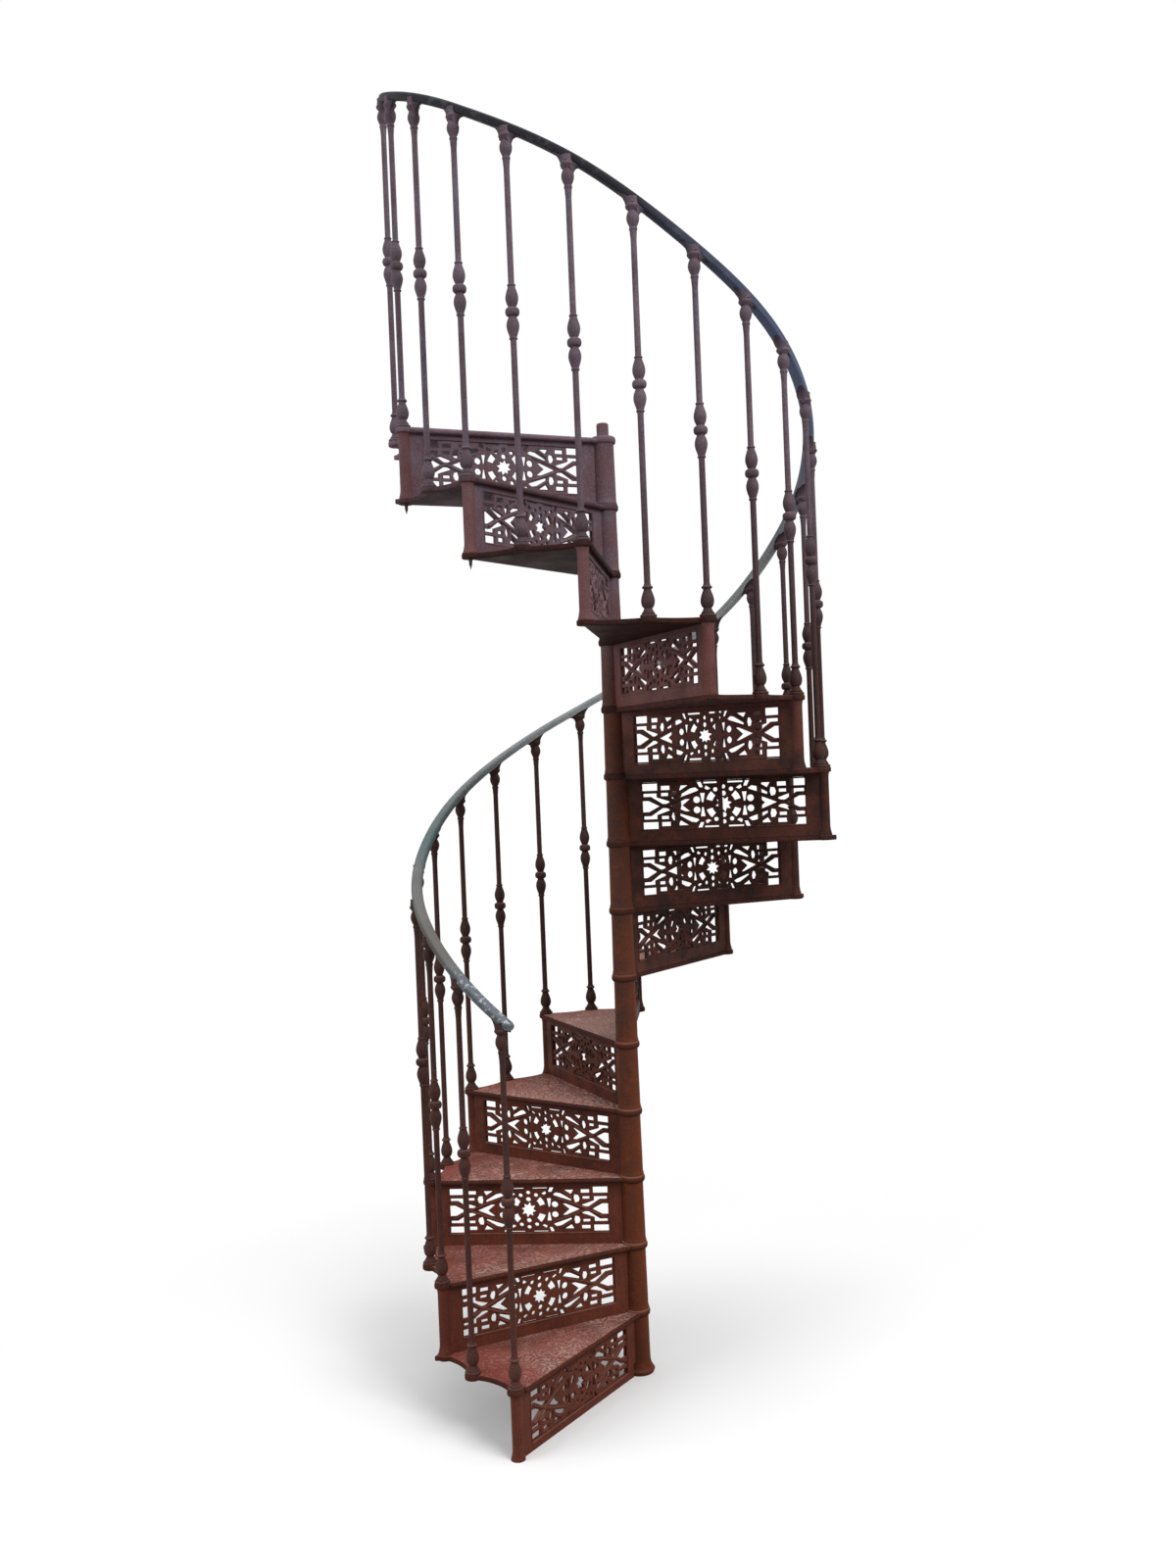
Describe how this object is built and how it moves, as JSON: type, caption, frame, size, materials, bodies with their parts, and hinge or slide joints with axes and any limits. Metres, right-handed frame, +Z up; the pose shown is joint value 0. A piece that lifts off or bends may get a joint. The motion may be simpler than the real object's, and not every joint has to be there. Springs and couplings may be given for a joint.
{
  "type": "spiral staircase",
  "caption": "Cast-iron spiral staircase with pierced risers, wedge treads on a central column, turned balusters and a helical handrail.",
  "frame": {"origin": "centre of the column's foot on the floor", "axes": "+Z up along the column; +Y away from the viewer of the picture, +X to the viewer's right"},
  "size_m": [1.2161, 1.2144, 3.6165],
  "materials": {
    "column_iron": "worn rust-brown paint",
    "riser_iron": "dull dark red-brown paint",
    "tread_iron": "dusty, worn red-oxide paint",
    "baluster_iron": "dull dark brown paint",
    "rail_iron": "worn slate-grey paint"
  },
  "bodies": {
    "root": {"newel_pole": "column_iron", "column_sleeves": "column_iron", "handrail": "rail_iron", "tread_01": "tread_iron", "riser_01": "riser_iron", "balusters_01": "baluster_iron", "tread_02": "tread_iron", "riser_02": "riser_iron", "balusters_02": "baluster_iron", "tread_03": "tread_iron", "riser_03": "riser_iron", "balusters_03": "baluster_iron", "tread_04": "tread_iron", "riser_04": "riser_iron", "balusters_04": "baluster_iron", "tread_05": "tread_iron", "riser_05": "riser_iron", "balusters_05": "baluster_iron", "tread_06": "tread_iron", "riser_06": "riser_iron", "balusters_06": "baluster_iron", "tread_07": "tread_iron", "riser_07": "riser_iron", "balusters_07": "baluster_iron", "tread_08": "tread_iron", "riser_08": "riser_iron", "balusters_08": "baluster_iron", "tread_09": "tread_iron", "riser_09": "riser_iron", "balusters_09": "baluster_iron", "tread_10": "tread_iron", "riser_10": "riser_iron", "balusters_10": "baluster_iron", "tread_11": "tread_iron", "riser_11": "riser_iron", "balusters_11": "baluster_iron", "tread_12": "tread_iron", "riser_12": "riser_iron", "balusters_12": "baluster_iron", "tread_13": "tread_iron", "riser_13": "riser_iron", "balusters_13": "baluster_iron", "tread_14": "tread_iron", "riser_14": "riser_iron", "balusters_14": "baluster_iron"}
  },
  "joints": []
}
